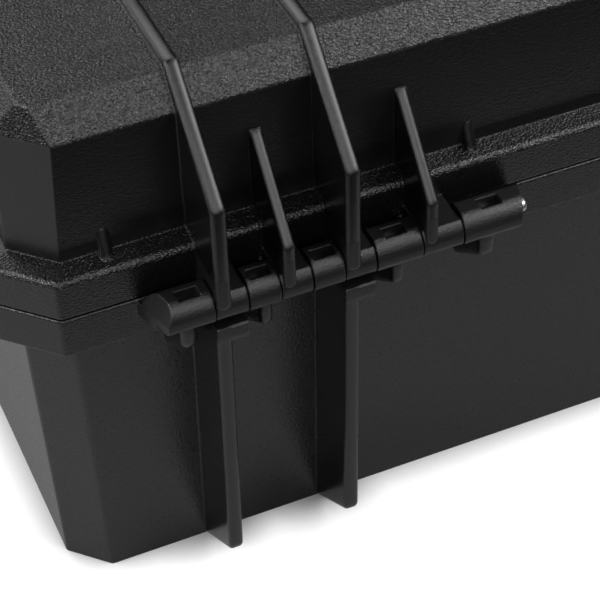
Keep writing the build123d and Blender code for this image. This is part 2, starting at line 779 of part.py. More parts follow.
def valve_ring():
    """Seal ring in the face groove, lying on the boss."""
    y = valve_seat_y() - valve_ring_cord * 0.85 / 2
    return Pos(0, y, valve_height) * Rot(90, 0, 0) * Torus(valve_ring_radius, valve_ring_cord * 0.42)


def valve_cap():
    """Vented cap over the membrane."""
    front = valve_seat_y() - valve_flange_thickness
    cap = along_y(0, valve_height, (front - valve_cap_thickness, front), valve_cap_radius)
    cap = fillet(cap.edges().filter_by(GeomType.CIRCLE).sort_by(Axis.Y)[0], 0.9)
    for i in range(valve_vent_count):
        turn = Rot(0, 360 / valve_vent_count * i, 0)
        slot = Pos(valve_cap_radius * 0.62, 0, 0) * Box(valve_cap_radius * 0.5, 1.6, valve_vent_width)
        cap = cap - Pos(0, front - valve_cap_thickness, valve_height) * turn * slot
    return cap


def valve_nut():
    inner_face = valve_seat_y() + valve_boss_stand_out + wall + valve_pad
    hexagon = Plane.XZ * RegularPolygon(valve_nut_width / 2, 6, major_radius=False)
    nut = Pos(0, inner_face + valve_nut_thickness, valve_height) * extrude(hexagon, valve_nut_thickness)
    return nut - along_y(0, valve_height, (inner_face - 1, inner_face + valve_nut_thickness + 1),
                         valve_stem_radius + 0.02)


# Foam linings

def base_foam_floor():
    inset = inset_at(base_floor) + wall + foam_gap
    corner = base_corner - wall * octagon_factor
    lower = octagon(inset, corner, base_floor + foam_gap)
    upper = octagon(inset_at(foam_floor_thickness) + wall + foam_gap, corner,
                    base_floor + foam_gap + foam_floor_thickness)
    pad = frustum(lower, upper)
    return pad - valve_room()


def base_foam_wall():
    """Foam lining round the inside of the base walls."""
    bottom = base_floor + 2 * foam_gap + foam_floor_thickness
    top = parting_height - foam_wall_top_gap
    corner = base_corner - wall * octagon_factor
    outside = frustum(octagon(inset_at(bottom) + wall + foam_gap, corner, bottom),
                      octagon(inset_at(top) + wall + foam_gap, corner, top))
    inside_inset = inset_at(bottom) + wall + foam_gap + foam_wall_thickness
    inside = extrude(octagon(inside_inset, corner, bottom - 1), top - bottom + 2)
    return outside - inside - valve_room()


def valve_room():
    """Pocket in the foam that the valve's nut and stem stand in."""
    reach = valve_nut_width / 2 * 1.2 + foam_pocket
    front = -(flange_half_depth - inset_at(valve_height) - wall)
    return block((-reach, reach), (front - 5, front + valve_nut_thickness + 2 * foam_pocket),
                 (valve_height - reach, valve_height + reach))


def lid_foam():
    top = lid_top_height - wall - foam_gap
    return extrude(octagon(foam_lid_inset, lid_top_corner + 2, top - foam_lid_thickness), foam_lid_thickness)


def save(solids, name):
    """One named piece, or a group of like pieces, to its own file."""
    shape = solids[0] if len(solids) == 1 else Compound(children=solids)
    export_step(shape, "parts/" + name + ".step")


def pair(solid, name):
    """The same piece on both sides of the case, each under its own name."""
    save([solid], name + "_left")
    save([mirror(solid, about=Plane.YZ)], name + "_right")


def build():
    save([base_shell()], "base_shell")
    save([lid_shell()], "lid_shell")
    save([lid_seal()], "lid_seal")
    pair(hinge_pin(), "hinge_pin")
    pair(latch_open(), "latch")
    pair(latch_pin(), "latch_pin")
    save([handle_frame()], "handle_frame")
    save([handle_grip()], "handle_grip")
    pair(handle_pin(), "handle_pin")
    tab_top = parting_height - parting_gap / 2
    save(both_sides([eyelet(tab_top - eye_thickness, tab_top, True)]), "padlock_eyelets_base")
    save(both_sides([eyelet(lid_bottom, lid_bottom + eye_thickness, False)]), "padlock_eyelets_lid")
    save([valve_body()], "valve_body")
    save([valve_ring()], "valve_seal_ring")
    save([valve_cap()], "valve_cap")
    save([valve_nut()], "valve_nut")
    save([base_foam_floor()], "base_foam_floor")
    save([base_foam_wall()], "base_foam_wall")
    save([lid_foam()], "lid_foam")


build()
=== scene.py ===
import math

import bmesh
import bpy
from mathutils import Matrix, Vector, noise


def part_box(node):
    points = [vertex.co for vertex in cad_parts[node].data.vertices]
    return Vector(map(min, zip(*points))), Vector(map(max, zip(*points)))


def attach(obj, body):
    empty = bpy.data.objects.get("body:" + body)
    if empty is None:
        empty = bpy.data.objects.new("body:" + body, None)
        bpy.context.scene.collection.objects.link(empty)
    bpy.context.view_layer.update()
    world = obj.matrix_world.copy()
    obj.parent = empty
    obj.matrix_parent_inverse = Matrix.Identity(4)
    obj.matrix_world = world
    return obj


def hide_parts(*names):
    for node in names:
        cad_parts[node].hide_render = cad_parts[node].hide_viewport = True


bl_info = {
    "name": "Flight case",
    "version": (1, 0, 0),
    "blender": (4, 5, 0),
    "location": "3D View > Sidebar > Flight case",
    "description": "Finishes a moulded flight case, its hardware and its foam, and sets the studio",
    "category": "Object",
}

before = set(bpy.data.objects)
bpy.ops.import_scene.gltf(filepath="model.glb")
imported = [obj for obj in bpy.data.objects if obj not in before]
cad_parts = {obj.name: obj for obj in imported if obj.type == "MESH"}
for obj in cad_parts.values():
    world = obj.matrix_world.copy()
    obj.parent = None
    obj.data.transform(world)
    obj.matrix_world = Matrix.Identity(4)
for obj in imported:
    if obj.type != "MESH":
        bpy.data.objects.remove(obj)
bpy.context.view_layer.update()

# Skins of the shells. Heights are over the feet, in metres

HINGE_HEIGHT = 0.1105
KNUCKLE_REACH = 0.009  # above and below the hinge line
RIB_START = 0.011      # as far from the hinge line as this, what stands proud is a rib
ZONE_BLEND = 0.0003    # half the height over which a zone of grain fades out

# Bottom, top and depth of grain of each zone. The depth is a share of the deepest grain
BASE_ZONES = ((0.0, 0.1106, 0.18),)
LID_ZONES = (
    (0.1688, 0.2, 1.0),      # top
    (0.1601, 0.1688, 0.4),   # chamfer
    (0.1212, 0.1250, 0.45),  # upper side of the flange
    (0.1100, 0.1212, 0.22),  # face of the flange
    (0.1250, 0.1601, 0.08),  # walls
)

# Planes of the walls in millimetres, to tell walls from ribs. A plane's distance from the
# case's middle is its depth plus its slope times the height
BASE_PLANES = {
    "Wall_depth": 157.0, "Wall_slope": 0.038,
    "Rim_depth": 168.0, "Rim_low": 97.9, "Rim_high": 111.0,
}
LID_PLANES = {
    "Wall_depth": 164.14, "Wall_slope": -0.0202,
    "Shoulder_depth": 293.1, "Shoulder_slope": -0.8235,
    "Rim_depth": 168.0, "Rim_low": 110.0, "Rim_high": 124.7, "Top": 169.0,
}
FAR_PLANE = 1000.0  # past every side of the case
PROUD_START = 0.15  # past a plane by this, the satin skin begins
PROUD_FULL = 0.55   # past a plane by this, it is complete

SKIN_RIPPLE = 0.012
KNUCKLE_GRAIN = 0.14
KNUCKLE_ROUGHNESS = 0.18
SCUFF_COLOUR = (0.10, 0.10, 0.10)

# Studio. The camera was fitted to the photograph

FOCUS = (0.15, 0.15, 0.1)
FLOOR_FOCUS = (-0.25, 0.35, 0.0)

# Place, point faced, width and height of each softbox
SOFTBOXES = {
    "key": ((0.50, 1.75, 1.25), FOCUS, 1.9, 1.3),
    "rim": ((0.10, -1.35, 1.75), FOCUS, 2.0, 0.75),
    "fill": ((-0.75, 0.75, 1.0), FLOOR_FOCUS, 0.8, 0.8),
    "front": ((0.7, -1.4, 0.45), FOCUS, 1.2, 0.5),
    "side": ((1.6, 0.2, 1.1), FOCUS, 1.0, 0.8),
}

CAMERA_PLACE = (0.30484858, 0.54165612, 0.46712163)
CAMERA_RIGHT = Vector((-0.91717737, 0.39776851, -0.02378818))
CAMERA_DOWN = Vector((0.28666782, 0.61717967, -0.73274199))
CAMERA_AHEAD = Vector((-0.27678011, -0.67887368, -0.68009066))
SENSOR_WIDTH = 36.0
NEAREST_SEEN = 0.01
FARTHEST_SEEN = 30.0

WHITE = (1, 1, 1, 1)


# Sizes and colours that a user would change

class ShellFinish(bpy.types.PropertyGroup):
    """Moulded plastic of the two shells."""
    colour: bpy.props.FloatVectorProperty(
        name="Plastic", description="Colour of the moulded plastic", subtype="COLOR",
        size=3, default=(0.0030, 0.0030, 0.0032), min=0, max=1)
    roughness: bpy.props.FloatProperty(
        name="Roughness", description="Roughness of the grained skin", default=0.25,
        min=0, max=1)
    smooth_roughness: bpy.props.FloatProperty(
        name="Rib roughness", description="Roughness of ribs and fins", default=0.21,
        min=0, max=1)
    grain_cell: bpy.props.FloatProperty(
        name="Grain", description="Size of the wrinkles of the grain", default=0.00049,
        min=0.0001, unit="LENGTH")
    grain_depth: bpy.props.FloatProperty(
        name="Grain depth", description="Depth of the deepest grain", default=0.00027,
        min=0, unit="LENGTH")
    edge_round: bpy.props.FloatProperty(
        name="Edge round", description="Radius that softens every moulded edge",
        default=0.0007, min=0, unit="LENGTH")
    crest_round: bpy.props.FloatProperty(
        name="Crest round", description="Radius that softens the crests of ribs and fins",
        default=0.0022, min=0, unit="LENGTH")


class FittingFinish(bpy.types.PropertyGroup):
    """Latches, handle, valve and steel parts."""
    plastic: bpy.props.FloatVectorProperty(
        name="Fitting plastic", description="Colour of latches and handle", subtype="COLOR",
        size=3, default=(0.020, 0.020, 0.021), min=0, max=1)
    rubber: bpy.props.FloatVectorProperty(
        name="Rubber", description="Colour of the grip and the seals", subtype="COLOR",
        size=3, default=(0.017, 0.017, 0.0175), min=0, max=1)
    steel: bpy.props.FloatVectorProperty(
        name="Steel", description="Colour of pins and eyelets", subtype="COLOR",
        size=3, default=(0.60, 0.59, 0.57), min=0, max=1)


class FoamSizes(bpy.types.PropertyGroup):
    """Foam linings."""
    colour: bpy.props.FloatVectorProperty(
        name="Foam", description="Colour of the foam", subtype="COLOR",
        size=3, default=(0.055, 0.055, 0.058), min=0, max=1)
    pitch: bpy.props.FloatProperty(
        name="Wave pitch", description="Distance between the peaks of the lid's foam",
        default=0.027, min=0.005, unit="LENGTH")
    depth: bpy.props.FloatProperty(
        name="Wave depth", description="Height of the peaks of the lid's foam",
        default=0.012, min=0.001, unit="LENGTH")
    step: bpy.props.FloatProperty(
        name="Mesh step", description="Distance between the points of the foam's mesh",
        default=0.0045, min=0.001, unit="LENGTH")


class StudioSettings(bpy.types.PropertyGroup):
    """Floor, light and camera."""
    key_power: bpy.props.FloatProperty(
        name="Key", description="Power of the softbox behind the camera", default=24.0, min=0)
    rim_power: bpy.props.FloatProperty(
        name="Rim", description="Power of the softbox beyond the case", default=17.5, min=0)
    side_power: bpy.props.FloatProperty(
        name="Side", description="Power of the softbox at the side", default=24.0, min=0)
    fill_power: bpy.props.FloatProperty(
        name="Fill", description="Power of the softbox over the floor on the hinge side",
        default=14.0, min=0)
    front_power: bpy.props.FloatProperty(
        name="Front", description="Power of the low softbox before the latches",
        default=6.0, min=0)
    sky: bpy.props.FloatProperty(
        name="Sky", description="Strength of the even light all round", default=0.05, min=0)
    sheet_width: bpy.props.FloatProperty(
        name="Sheet width", description="Width of the white sheet under the case",
        default=3.0, min=0.5, unit="LENGTH")
    sheet_depth: bpy.props.FloatProperty(
        name="Sheet depth", description="Depth of the white sheet under the case",
        default=2.0, min=0.5, unit="LENGTH")
    sheet_edge: bpy.props.FloatProperty(
        name="Sheet edge", description="Where the sheet ends on the hinge side",
        default=0.31, unit="LENGTH")
    sheet_grey: bpy.props.FloatProperty(
        name="Sheet grey", description="Grey of the sheet as the case mirrors it",
        default=0.42, min=0, max=1)
    sheet_glow: bpy.props.FloatProperty(
        name="Sheet glow", description="Light that lifts the seen sheet to white",
        default=0.80, min=0)
    # Reach of the painted shadow: ambient occlusion that dims the sheet's white near the case
    painted_shadow_reach: bpy.props.FloatProperty(
        name="Shadow reach", description="How far the soft shadow under the case spreads",
        default=0.018, min=0, unit="LENGTH")
    lens: bpy.props.FloatProperty(
        name="Lens", description="Focal length on a 36 mm sensor, in millimetres",
        default=123.1, min=1)


# Node helpers

def add(tree, kind, settings=None, **values):
    """A node with its settings. Values or links go to inputs by name, or by number as i0, i1."""
    node = tree.nodes.new(kind)
    for name, value in (settings or {}).items():
        setattr(node, name, value)
    for name, value in values.items():
        numbered = name[0] == "i" and name[1:].isdigit()
        socket = node.inputs[int(name[1:]) if numbered else name]
        set_input(tree, socket, value)
    return node


def set_input(tree, socket, value):
    """Links an input to an output, or gives it a value."""
    if isinstance(value, bpy.types.NodeSocket):
        tree.links.new(value, socket)
    else:
        socket.default_value = value


def math_node(tree, operation, *inputs):
    """Result of an operation on values or links."""
    values = {f"i{n}": value for n, value in enumerate(inputs)}
    return add(tree, "ShaderNodeMath", {"operation": operation}, **values).outputs[0]


def ramp(tree, value, low, high):
    """Smooth step of a value, from 0 at one level to 1 at the other."""
    node = add(tree, "ShaderNodeMapRange", {"interpolation_type": "SMOOTHSTEP"}, Value=value)
    node.inputs["From Min"].default_value = low
    node.inputs["From Max"].default_value = high
    return node.outputs["Result"]


def noise_value(tree, place, scale, detail, **more):
    """Value of a noise at a place."""
    node = add(
        tree, "ShaderNodeTexNoise", Vector=place, Scale=scale, Detail=detail, **more)
    return node.outputs["Fac"]


def mix_colour(tree, factor, a, b):
    """Blend of two colours, each a link or three channels."""
    node = add(tree, "ShaderNodeMix", {"data_type": "RGBA"}, i0=factor)
    for socket, colour in ((node.inputs[6], a), (node.inputs[7], b)):
        linked = isinstance(colour, bpy.types.NodeSocket)
        set_input(tree, socket, colour if linked else (*colour, 1.0))
    return node.outputs[2]


def group_tree(name, inputs, outputs):
    """An empty node group with named inputs and outputs."""
    tree = bpy.data.node_groups.new(name, "ShaderNodeTree")
    for label, kind, default in inputs:
        socket = tree.interface.new_socket(name=label, in_out="INPUT", socket_type=kind)
        if default is not None:
            socket.default_value = default
    for label in outputs:
        tree.interface.new_socket(
            name=label, in_out="OUTPUT", socket_type="NodeSocketFloat")
    given = tree.nodes.new("NodeGroupInput").outputs
    out = tree.nodes.new("NodeGroupOutput").inputs
    return tree, given, out


def grain_group():
    """Leather grain: short rounded wrinkles that run along the case."""
    stretch = (0.62, 1.0, 1.0)
    valley, crest = 0.25, 0.75
    crease_start, crease_full = 0.5, 0.3
    tree, given, out = group_tree(
        "Leather grain",
        [("Place", "NodeSocketVector", None), ("Cell", "NodeSocketFloat", 0.0015)],
        ["Height", "Crease"])
    scale = math_node(tree, "DIVIDE", 1.0, given["Cell"])
    along = add(tree, "ShaderNodeMapping", Vector=given["Place"], Scale=stretch)
    wrinkle = noise_value(
        tree, along.outputs[0], scale, detail=1.0, Roughness=0.5, Distortion=0.3)
    tree.links.new(ramp(tree, wrinkle, valley, crest), out["Height"])
    tree.links.new(ramp(tree, wrinkle, crease_start, crease_full), out["Crease"])
    return tree


def moulding_group():
    """Satin moulded skin: a faint ripple, fine tool marks and a few pale scuffs."""
    mark_share = 0.10
    scuff_start, scuff_full = 0.70, 0.80
    tree, given, out = group_tree(
        "Moulded skin",
        [("Place", "NodeSocketVector", None), ("Ripple", "NodeSocketFloat", SKIN_RIPPLE)],
        ["Height", "Scuff"])
    place = given["Place"]
    scale = math_node(tree, "DIVIDE", 1.0, given["Ripple"])
    broad = noise_value(tree, place, scale, detail=2.0)
    marks = noise_value(tree, place, scale=2600.0, detail=2.0)
    height = math_node(tree, "MULTIPLY_ADD", marks, mark_share, broad)
    tree.links.new(height, out["Height"])
    specks = noise_value(tree, place, scale=520.0, detail=4.0, Roughness=0.7)
    tree.links.new(ramp(tree, specks, scuff_start, scuff_full), out["Scuff"])
    return tree


def proud_group():
    """Mask of what stands proud of a shell's walls: ribs, knuckles and fins. In millimetres."""
    planes = (
        ("Wall depth", FAR_PLANE), ("Wall slope", 0.0),
        ("Shoulder depth", FAR_PLANE), ("Shoulder slope", 0.0),
        ("Rim depth", FAR_PLANE), ("Rim low", 0.0), ("Rim high", 0.0), ("Top", FAR_PLANE),
    )
    tree, given, out = group_tree(
        "Proud of the wall",
        [("Place", "NodeSocketVector", None),
         *((label, "NodeSocketFloat", default) for label, default in planes)],
        ["Mask"])
    parts = add(tree, "ShaderNodeSeparateXYZ", i0=given["Place"]).outputs
    y = math_node(tree, "MULTIPLY", math_node(tree, "ABSOLUTE", parts["Y"]), 1000.0)
    z = math_node(tree, "MULTIPLY", parts["Z"], 1000.0)
    wall = math_node(tree, "MULTIPLY_ADD", z, given["Wall slope"], given["Wall depth"])
    shoulder = math_node(
        tree, "MULTIPLY_ADD", z, given["Shoulder slope"], given["Shoulder depth"])
    depth = math_node(tree, "MINIMUM", wall, shoulder)
    over_low = math_node(tree, "GREATER_THAN", z, given["Rim low"])
    under_high = math_node(tree, "LESS_THAN", z, given["Rim high"])
    in_rim = math_node(tree, "MULTIPLY", over_low, under_high)
    rim = math_node(tree, "MULTIPLY", in_rim, given["Rim depth"])
    depth = math_node(tree, "MAXIMUM", depth, rim)
    past_wall = math_node(tree, "SUBTRACT", y, depth)
    past_top = math_node(tree, "SUBTRACT", z, given["Top"])
    beyond = ramp(tree, past_wall, PROUD_START, PROUD_FULL)
    above = ramp(tree, past_top, PROUD_START, PROUD_FULL)
    tree.links.new(math_node(tree, "MAXIMUM", beyond, above), out["Mask"])
    return tree


groups = {}


def use(tree, maker, **values):
    """Outputs of the node group that a maker builds. Each group is built once and shared."""
    if maker not in groups:
        groups[maker] = maker()
    node = tree.nodes.new("ShaderNodeGroup")
    node.node_tree = groups[maker]
    for name, value in values.items():
        set_input(tree, node.inputs[name.replace("_", " ")], value)
    return node.outputs


def new_material(name):
    """A material with its shader and the place on the piece that its pattern follows."""
    material = bpy.data.materials.new(name)
    material.use_nodes = True
    tree = material.node_tree
    shader = tree.nodes["Principled BSDF"]
    place = add(tree, "ShaderNodeTexCoord").outputs["Object"]
    return material, tree, shader, place


def bump(tree, shader, height, depth, under=None):
    """Lets a height of 0 to 1 shade as relief of that depth, over another normal if given."""
    node = add(tree, "ShaderNodeBump", Height=height, Strength=1.0, Distance=depth)
    if under is not None:
        tree.links.new(under, node.inputs["Normal"])
    tree.links.new(node.outputs["Normal"], shader.inputs["Normal"])


def paint(tree, shader, factor, low, high):
    """Blends the shader's base colour between two colours."""
    tree.links.new(mix_colour(tree, factor, low, high), shader.inputs["Base Color"])


def shade(colour, factor):
    """The colour with each channel multiplied."""
    return tuple(channel * factor for channel in colour)


def spread_roughness(tree, pattern, spread, middle):
    """Roughness that a pattern of 0 to 1 spreads about a middle value."""
    return math_node(tree, "MULTIPLY_ADD", pattern, spread, middle - spread / 2)


def grain_depth_by_height(tree, z, zones):
    """Share of the deepest grain at each height."""
    amount = 0.0
    for low, high, share in zones:
        over_low = ramp(tree, z, low - ZONE_BLEND, low + ZONE_BLEND)
        under_high = ramp(tree, z, high + ZONE_BLEND, high - ZONE_BLEND)
        inside = math_node(tree, "MULTIPLY", over_low, under_high)
        amount = math_node(
            tree, "MAXIMUM", amount, math_node(tree, "MULTIPLY", inside, share))
    return amount


def shell_material(name, settings, planes, zones):
    """Grained skin on the walls, deeper in some zones, with painted shade in its creases, and satin
    skin on what stands proud.
    """
    skin_share = 0.08
    # Share of the plastic's colour left in the grain's creases: painted shade in the creases
    painted_crease_shade = 0.4
    crease_roughness = 0.15
    scuff_share = 0.12
    ripple_spread = 0.10
    material, tree, shader, place = new_material(name)
    mask = use(tree, proud_group, Place=place, **planes)["Mask"]
    grain = use(tree, grain_group, Place=place, Cell=settings.grain_cell)
    skin = use(tree, moulding_group, Place=place, Ripple=SKIN_RIPPLE)
    z = add(tree, "ShaderNodeSeparateXYZ", i0=place).outputs["Z"]

    from_hinge = math_node(tree, "ABSOLUTE", math_node(tree, "SUBTRACT", z, HINGE_HEIGHT))
    past_knuckle = ramp(tree, from_hinge, KNUCKLE_REACH, RIB_START)
    on_rib = math_node(tree, "MULTIPLY", mask, past_knuckle)
    on_knuckle = math_node(tree, "SUBTRACT", mask, on_rib)
    on_wall = math_node(tree, "SUBTRACT", 1.0, mask)

    amount = math_node(tree, "MULTIPLY", grain_depth_by_height(tree, z, zones), on_wall)
    amount = math_node(tree, "MULTIPLY_ADD", on_knuckle, KNUCKLE_GRAIN, amount)
    grained = math_node(tree, "MULTIPLY", grain["Height"], amount)
    height = math_node(tree, "MULTIPLY_ADD", skin["Height"], skin_share, grained)
    radius = math_node(
        tree, "MULTIPLY_ADD", on_rib, settings.crest_round - settings.edge_round,
        settings.edge_round)
    soft_edge = add(tree, "ShaderNodeBevel", {"samples": 6}, Radius=radius)
    bump(tree, shader, height, settings.grain_depth, soft_edge.outputs["Normal"])

    # The creases darken the base colour as painted shade, and roughen the walls below
    crease = math_node(tree, "MULTIPLY", grain["Crease"], amount)
    plastic = mix_colour(
        tree, crease, settings.colour, shade(settings.colour, painted_crease_shade))
    scuff = math_node(tree, "MULTIPLY", skin["Scuff"], scuff_share)
    paint(tree, shader, scuff, plastic, SCUFF_COLOUR)

    walls = math_node(tree, "MULTIPLY_ADD", crease, crease_roughness, settings.roughness)
    rib_base = settings.smooth_roughness - ripple_spread / 2
    satin = math_node(tree, "MULTIPLY_ADD", on_knuckle, KNUCKLE_ROUGHNESS, rib_base)
    smooth = math_node(tree, "MULTIPLY_ADD", skin["Height"], ripple_spread, satin)
    rough = add(tree, "ShaderNodeMix", {"data_type": "FLOAT"}, i0=mask, i2=walls, i3=smooth)
    tree.links.new(rough.outputs[0], shader.inputs["Roughness"])
    return material


def moulded_material(name, colour, roughness):
    """Satin moulded plastic."""
    relief = 0.00004
    scuff_share = 0.2
    scuff_colour = (0.09, 0.09, 0.09)
    ripple_spread = 0.16
    material, tree, shader, place = new_material(name)
    skin = use(tree, moulding_group, Place=place, Ripple=SKIN_RIPPLE)
    bump(tree, shader, skin["Height"], relief)
    scuff = math_node(tree, "MULTIPLY", skin["Scuff"], scuff_share)
    paint(tree, shader, scuff, colour, scuff_colour)
    rough = spread_roughness(tree, skin["Height"], ripple_spread, roughness)
    tree.links.new(rough, shader.inputs["Roughness"])
    return material


def rubber_material(name, colour):
    """Matte rubber with a powdery bloom."""
    grain_cell = 0.0007
    relief = 0.00004
    dark, pale = 0.7, 1.5
    roughness, bloom_spread = 0.7, 0.2
    material, tree, shader, place = new_material(name)
    grain = use(tree, grain_group, Place=place, Cell=grain_cell)
    bump(tree, shader, grain["Height"], relief)
    bloom = noise_value(tree, place, scale=60.0, detail=3.0)
    paint(tree, shader, bloom, shade(colour, dark), shade(colour, pale))
    rough = spread_roughness(tree, bloom, bloom_spread, roughness)
    tree.links.new(rough, shader.inputs["Roughness"])
    return material


def steel_material(name, colour, roughness):
    """Ground steel with rings of fine lines and a little tarnish."""
    line_stretch = (6000.0, 300.0, 300.0)
    relief = 0.000004
    line_roughness = 0.15
    tarnish_start, tarnish_full, tarnish_shade = 0.4, 0.7, 0.6
    material, tree, shader, place = new_material(name)
    shader.inputs["Metallic"].default_value = 1.0
    lines = add(tree, "ShaderNodeMapping", Vector=place, Scale=line_stretch)
    fine = noise_value(tree, lines.outputs[0], scale=1.0, detail=2.0)
    bump(tree, shader, fine, relief)
    stain = noise_value(tree, place, scale=420.0, detail=3.0)
    tarnish = ramp(tree, stain, tarnish_start, tarnish_full)
    paint(tree, shader, tarnish, colour, shade(colour, tarnish_shade))
    rough = math_node(tree, "MULTIPLY_ADD", fine, line_roughness, roughness)
    tree.links.new(rough, shader.inputs["Roughness"])
    return material


def foam_material(name, colour):
    """Open-cell foam: tiny pores, darkened as painted shade, in a soft, slightly uneven skin."""
    pore_depth = 0.00035
    # The last value is the share of the foam's colour at the bottom of a pore: painted shade
    pore_bottom, pore_rim, painted_pore_shade = 0.05, 0.65, 0.35
    uneven_share = 0.8
    dark, pale = 0.7, 1.4
    least_roughness, uneven_roughness = 0.85, 0.1
    material, tree, shader, place = new_material(name)
    shader.inputs["Sheen Weight"].default_value = 0.15
    cells = add(
        tree, "ShaderNodeTexVoronoi", {"feature": "F1"}, Vector=place, Scale=1100.0)
    uneven = noise_value(tree, place, scale=140.0, detail=3.0)
    pore = ramp(tree, cells.outputs["Distance"], pore_bottom, pore_rim)
    height = math_node(tree, "MULTIPLY_ADD", uneven, uneven_share, pore)
    bump(tree, shader, height, pore_depth)
    skin = mix_colour(tree, uneven, shade(colour, dark), shade(colour, pale))
    # Painted shade: each pore is darker towards its middle than the skin round it
    paint(tree, shader, pore, shade(colour, painted_pore_shade), skin)
    rough = math_node(tree, "MULTIPLY_ADD", uneven, uneven_roughness, least_roughness)
    tree.links.new(rough, shader.inputs["Roughness"])
    return material


def dress(node, material):
    """Gives a carried CAD node its material in every slot."""
    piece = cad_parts[node]
    if not piece.material_slots:
        piece.data.materials.append(material)
    for slot in piece.material_slots:
        slot.material = material


# Meshes

def octagon_points(half_x, half_y, corner, z):
    """Outline with cut corners, anticlockwise from the +X side."""
    x, y, c = half_x, half_y, corner
    flat = [
        (x, c - y), (x, y - c), (x - c, y), (c - x, y),
        (-x, y - c), (-x, c - y), (c - x, -y), (x - c, -y)]
    return [Vector((px, py, z)) for px, py in flat]


def finish_mesh(name, bm, material, smooth=True):
    """Turns a bmesh into an object in the scene."""
    bmesh.ops.recalc_face_normals(bm, faces=bm.faces)
    mesh = bpy.data.meshes.new(name)
    bm.to_mesh(mesh)
    bm.free()
    mesh.materials.append(material)
    for polygon in mesh.polygons:
        polygon.use_smooth = smooth
    piece = bpy.data.objects.new(name, mesh)
    bpy.context.scene.collection.objects.link(piece)
    return piece


def band(bm, low, high):
    """Faces between two closed rows with the same number of points."""
    count = len(low)
    for i in range(count):
        following = (i + 1) % count
        bm.faces.new((low[i], low[following], high[following], high[i]))


def closed_sleeve(bm, rings):
    """Skin through a run of outlines that ends where it began."""
    rows = [[bm.verts.new(p) for p in ring] for ring in rings]
    for low, high in zip(rows, rows[1:] + rows[:1]):
        band(bm, low, high)


def pad_surface(bm, low, high, corner, step, height):
    """Grid over a cut-corner outline, with its heights given by a function of place."""
    half_x, half_y = (high[0] - low[0]) / 2, (high[1] - low[1]) / 2
    cx, cy = (high[0] + low[0]) / 2, (high[1] + low[1]) / 2
    columns = max(2, round(2 * half_x / step))
    rows = max(2, round(2 * half_y / step))
    limit = half_x + half_y - corner
    grid = []
    for j in range(rows + 1):
        line = []
        for i in range(columns + 1):
            x = -half_x + 2 * half_x * i / columns
            y = -half_y + 2 * half_y * j / rows
            over = abs(x) + abs(y) - limit
            if over > 0:
                x -= math.copysign(over / 2, x)
                y -= math.copysign(over / 2, y)
            line.append(bm.verts.new((cx + x, cy + y, height(cx + x, cy + y))))
        grid.append(line)
    for j in range(rows):
        for i in range(columns):
            bm.faces.new(
                (grid[j][i], grid[j][i + 1], grid[j + 1][i + 1], grid[j + 1][i]))
    return grid


def rim_of(grid):
    """The grid's outer points in order."""
    first, last = grid[0], grid[-1]
    right = [line[-1] for line in grid[1:-1]]
    left = [line[0] for line in reversed(grid[1:-1])]
    return list(first) + right + list(reversed(last)) + left


def pad(name, low, high, corner, step, top, bottom, material):
    """Closed foam pad between two height functions."""
    bm = bmesh.new()
    upper = rim_of(pad_surface(bm, low, high, corner, step, top))
    lower = rim_of(pad_surface(bm, low, high, corner, step, bottom))
    band(bm, upper, lower)
    bmesh.ops.remove_doubles(bm, verts=bm.verts, dist=1e-6)
    return finish_mesh(name, bm, material)


# Operators

class CASE_OT_finish_shells(bpy.types.Operator):
    """Gives both shells their grained and satin skins"""
    bl_idname = "case.finish_shells"
    bl_label = "Finish shells"

    def execute(self, context):
        s = context.scene.case_shell
        dress("base_shell", shell_material("base_skin", s, BASE_PLANES, BASE_ZONES))
        dress("lid_shell", shell_material("lid_skin", s, LID_PLANES, LID_ZONES))
        return {"FINISHED"}


class CASE_OT_finish_fittings(bpy.types.Operator):
    """Gives the latches, handle, valve and seals their plastic and rubber"""
    bl_idname = "case.finish_fittings"
    bl_label = "Finish fittings"

    def execute(self, context):
        s = context.scene.case_fittings
        plastic = moulded_material("fitting_plastic", s.plastic, roughness=0.38)
        glossy = moulded_material("valve_plastic", shade(s.plastic, 0.8), roughness=0.25)
        rubber = rubber_material("rubber", s.rubber)
        for node in ("latch_left", "latch_right", "handle_frame", "valve_body", "valve_nut"):
            dress(node, plastic)
        dress("valve_cap", glossy)
        for node in ("handle_grip", "lid_seal", "valve_seal_ring"):
            dress(node, rubber)
        return {"FINISHED"}


class CASE_OT_finish_steel(bpy.types.Operator):
    """Gives the pins and padlock eyelets their steel"""
    bl_idname = "case.finish_steel"
    bl_label = "Finish steel"

    def execute(self, context):
        s = context.scene.case_fittings
        pin = steel_material("pin_steel", s.steel, roughness=0.22)
        eyelet = steel_material("eyelet_steel", shade(s.steel, 0.9), roughness=0.3)
        for side in ("left", "right"):
            for node in ("hinge_pin_", "latch_pin_", "handle_pin_"):
                dress(node + side, pin)
        for node in ("padlock_eyelets_base", "padlock_eyelets_lid"):
            dress(node, eyelet)
        return {"FINISHED"}


class CASE_OT_line_lid(bpy.types.Operator):
    """Makes the waved foam pad under the lid"""
    bl_idname = "case.line_lid"
    bl_label = "Line lid"

    def execute(self, context):
        s = context.scene.case_foam
        low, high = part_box("lid_foam")
        wave = 2 * math.pi / s.pitch
        edge = 0.008
        edge_lift = 0.004
        corner = 0.004

        def waved(x, y):
            to_edge = min(high.x - abs(x), high.y - abs(y))
            swell = (math.cos(x * wave) + math.cos(y * wave)) / 4 + 0.5
            shrink = min(1.0, max(0.0, to_edge / edge))
            return low.z + s.depth * (1 - swell) * shrink + (1 - shrink) * edge_lift

        foam = pad("lid_foam_waves", low, high, corner, s.step, lambda x, y: high.z, waved,
                   foam_material("foam_grey", s.colour))
        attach(foam, "lid")
        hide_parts("lid_foam")
        return {"FINISHED"}


